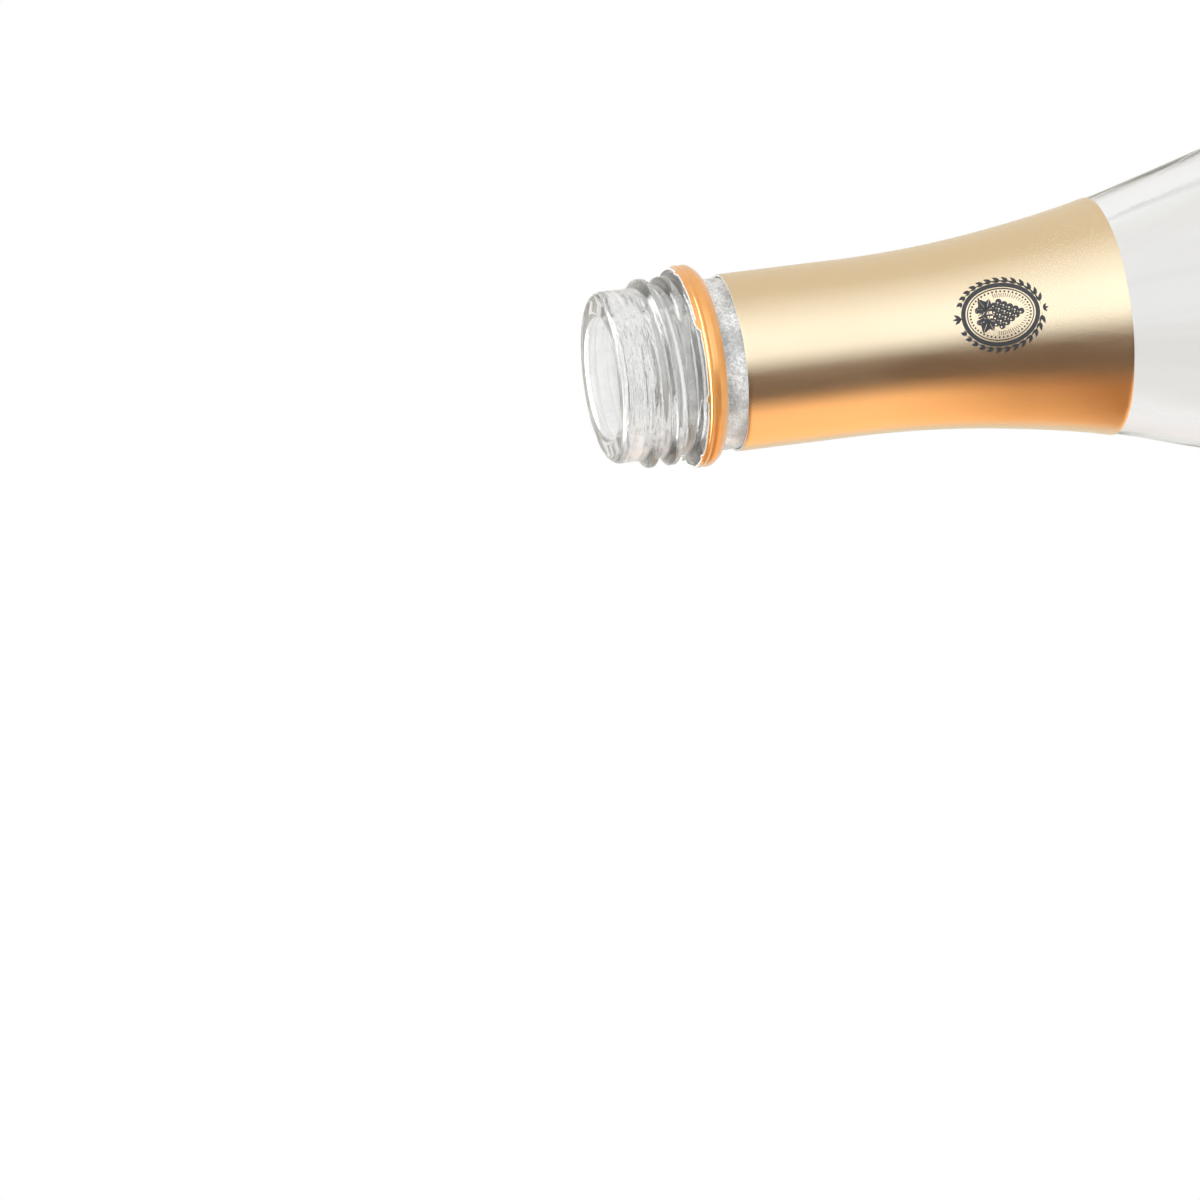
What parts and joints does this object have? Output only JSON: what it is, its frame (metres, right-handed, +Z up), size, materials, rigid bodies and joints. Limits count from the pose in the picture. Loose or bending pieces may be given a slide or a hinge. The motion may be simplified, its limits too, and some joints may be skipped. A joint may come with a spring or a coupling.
{
  "type": "sparkling wine bottle",
  "caption": "Tall clear bottle for sparkling wine with sloping shoulders, screw-threaded mouth with a loose torn band, gold neck foil, plain paper labels and a little over half its pale wine left.",
  "frame": {"origin": "on the bottle's axis, in the plane of the bearing ring that it stands on", "axes": "+Z up along the bottle's axis towards the mouth, -Y towards the front label and the emblem on the neck foil, +X to the right of someone who looks at the front"},
  "size_m": [0.084, 0.0852, 0.3],
  "materials": {
    "clear_glass": "gloss",
    "pale_wine": "gloss",
    "gold_band": "satin",
    "satin_gold": "satin",
    "label_paper": "matte"
  },
  "bodies": {
    "bottle": {"bottle_glass": "clear_glass", "wine": "pale_wine", "neck_foil": "satin_gold", "front_label": "label_paper", "back_label": "label_paper"},
    "tamper_band": {"tamper_band": "gold_band"}
  },
  "joints": [
    {"name": "band_spin", "type": "hinge", "parent": "bottle", "child": "tamper_band", "pos_m": [0, 0, 0.288], "axis": [0, 0, 1], "continuous": true}
  ]
}
